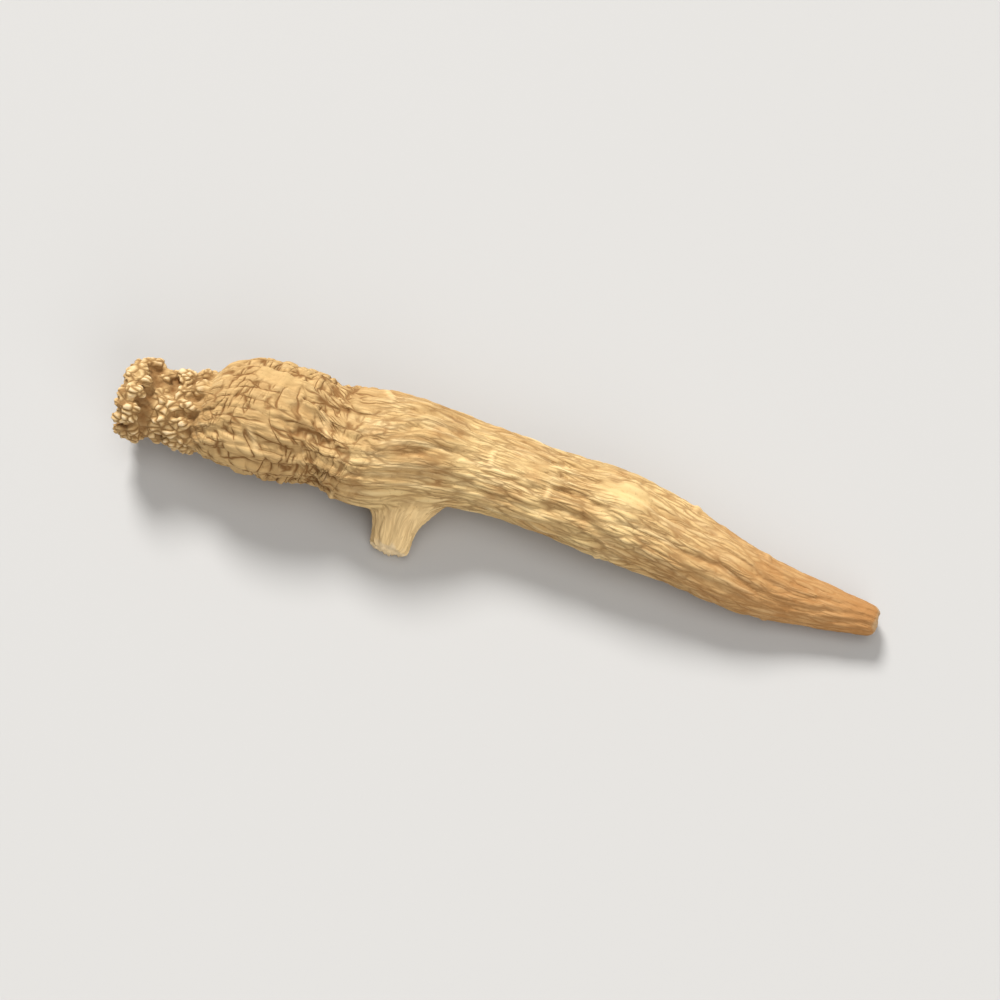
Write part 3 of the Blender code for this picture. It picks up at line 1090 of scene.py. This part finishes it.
def driedSkin():
    look, fade, share = skinFinish, colourFades, colourShares
    material = bpy.data.materials.new("dried_skin")
    material.use_nodes = True
    graph = Graph(material.node_tree)
    marks = {}
    scalars = ("sideShare", "headShare", "along", "around", "outside", "even", "broken", "bar")
    for name in ("bodyFlow", "sideFlow", *scalars):
        output = 1 if name.endswith("Flow") else 2
        marks[name] = graph.node("ShaderNodeAttribute", {"attribute_name": name}, None, output)
    groove, zone = wrinkles(graph, marks), zones(graph, marks)
    flow, head, side = marks["bodyFlow"], marks["headShare"], marks["sideShare"]

    def layer(amount, under, over):
        # sockets 0, 6 and 7 of a colour Mix are its factor and its two colours
        ends = {0: amount}
        for place, value in ((6, under), (7, over)):
            ends[place] = value if isinstance(value, Wire) else (*look[value], 1.0)
        return graph.node("ShaderNodeMix", {"data_type": "RGBA"}, ends, 2)

    broad = graph.noise(flow, *look["broad"])
    blotch = graph.noise(flow, *look["blotch"])
    streak = graph.noise(graph.stretched(flow, *look["streakSize"]), detail=look["streakDetail"])
    speck = graph.noise(flow, *look["speck"])
    brownAndShade = skinBrownAndShade(graph, marks, groove, zone)

    colour = layer(graph.ease(*fade["straw"], broad), "tan", "straw")
    colour = layer(graph.ease(*fade["blotch"], blotch) * share["blotch"], colour, "russet")
    colour = layer(graph.ease(*fade["streak"], streak) * share["streak"], colour, "cream")
    # paler crests between the creases: partly the ridges' paler skin, partly painted highlight
    colour = layer(graph.ease(*fade["crestPaleAndHighlight"], groove["crease"]) * share["crestPaleAndHighlight"], colour, "cream")
    colour = layer(marks["even"] * share["smooth"], colour, "yellow")
    colour = layer(zone["shoulder"] * share["shoulder"], colour, "tan")
    colour = layer(side * share["side"], colour, "pale")
    colour = layer(head * share["head"], colour, "tan")
    tips = head * graph.ease(*fade["tip"], marks["outside"])
    tips = tips * graph.ease(*fade["budMiddle"], groove["bud"])
    colour = layer(tips * share["tip"], colour, "scar")
    crests = graph.ease(*fade["neckCrest"], groove["slant"]) * zone["neck"]
    colour = layer(crests * share["neckCrest"], colour, "scar")
    # painted shade in the grooves and hollows, partly the grooves' own browner skin
    colour = layer(brownAndShade * share["brownAndShade"], colour, "brown")
    colour = layer(graph.ease(*fade["speck"], speck) * share["speck"], colour, "brown")
    colour = layer(marks["bar"] * share["bar"], colour, "pale")
    colour = layer(graph.ease(*fade["tail"], marks["along"]) * share["tail"], colour, "russet")
    colour = layer(marks["broken"] * (share["broken"] + share["sideBroken"] * side), colour, "scar")

    grain = graph.noise(graph.stretched(flow, *look["grainSize"]), detail=look["grainDetail"])
    lift = grain * look["grainLift"] + streak * look["streakLift"] - brownAndShade * look["darkLift"]
    inputs = {"Strength": look["bumpStrength"], "Distance": look["grainDepth"], "Height": lift}
    bumped = graph.node("ShaderNodeBump", None, inputs)
    rough = look["roughness"] + look["darkRoughness"] * brownAndShade + look["speckRoughness"] * speck
    shader = graph.node("ShaderNodeBsdfPrincipled", None, {
        "Base Color": colour,
        "Roughness": rough,
        "Normal": bumped,
        "Specular IOR Level": look["specular"],
    })
    leave = material.node_tree.nodes.new("ShaderNodeOutputMaterial")
    material.node_tree.links.new(shader.socket, leave.inputs["Surface"])
    return material


stageLook = {
    "floorHalf": 3.0,
    "floorColour": (0.48, 0.47, 0.455, 1.0),
    "floorRoughness": 0.75,
    # name, place, degrees across, strength: a key from the photo's upper left, a fill and a top light
    "lamps": (
        ("key", (-0.26, 0.40, 0.42), 18, 4.0),
        ("fill", (0.45, -0.45, 0.40), 50, 1.1),
        ("top", (0.05, 0.05, 0.80), 40, 0.9),
    ),
    "airColour": (1.0, 0.99, 0.97, 1.0),
    "airStrength": 0.30,
    # lens and sensor in millimetres, degrees up and rolled, share of the width that the root fills
    "lens": 90,
    "sensor": 36,
    "clipStart": 0.01,
    "elevation": 74.0,
    "tilt": 17.4,
    "fill": 0.80,
}


def layFloor():
    bm = bmesh.new()
    bmesh.ops.create_grid(bm, x_segments=1, y_segments=1, size=stageLook["floorHalf"])
    mesh = bpy.data.meshes.new("floor")
    bm.to_mesh(mesh)
    bm.free()
    floor = asObject("floor", mesh)
    material = bpy.data.materials.new("pale_floor")
    material.use_nodes = True
    shader = material.node_tree.nodes["Principled BSDF"]
    shader.inputs["Base Color"].default_value = stageLook["floorColour"]
    shader.inputs["Roughness"].default_value = stageLook["floorRoughness"]
    mesh.materials.append(material)


def hangLights():
    for name, place, width, strength in stageLook["lamps"]:
        light = bpy.data.lights.new(name, "SUN")
        light.angle = math.radians(width)
        light.energy = strength
        obj = asObject(name, light)
        obj.location = place
        obj.rotation_euler = (-Vector(place)).to_track_quat("-Z", "Y").to_euler()
    world = bpy.data.worlds.new("studio")
    world.use_nodes = True
    air = world.node_tree.nodes["Background"]
    air.inputs["Color"].default_value = stageLook["airColour"]
    air.inputs["Strength"].default_value = stageLook["airStrength"]
    bpy.context.scene.world = world


def setCamera():
    # looks down on the root, rolled so that its tail points down to the right as in the photo
    camera = bpy.data.cameras.new("camera")
    camera.lens = stageLook["lens"]
    camera.sensor_width = stageLook["sensor"]
    camera.clip_start = stageLook["clipStart"]
    obj = asObject("camera", camera)
    low, high = (Vector(corner) for corner in cadBox)
    middle = (low + high) / 2
    tilt = math.radians(stageLook["tilt"])
    elevation = math.radians(stageLook["elevation"])
    right = Vector((math.cos(tilt), math.sin(tilt), 0))
    level = Vector((math.sin(tilt), -math.cos(tilt), 0))
    back = level * math.cos(elevation) + Vector((0, 0, 1)) * math.sin(elevation)
    up = back.cross(right)
    distance = (high.x - low.x) / stageLook["fill"] * stageLook["lens"] / stageLook["sensor"]
    turned = Matrix((right, up, back)).transposed().to_4x4()
    turned.translation = middle + back * distance
    obj.matrix_world = turned
    bpy.context.scene.camera = obj
    bpy.context.scene.view_settings.view_transform = "Standard"


print("growing the root")
skin, middle = growRoot()
print("skin has", len(skin.data.polygons), "faces")
markSkin(skin, middle)
print("wrinkling the skin")
skinMaterial = driedSkin()
addRelief(skin, skinMaterial)
skin.data.materials.clear()
skin.data.materials.append(skinMaterial)
skin.data.shade_smooth()
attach(skin, "root")
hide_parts(partName)

print("setting the stage")
layFloor()
hangLights()
setCamera()

print("finished")
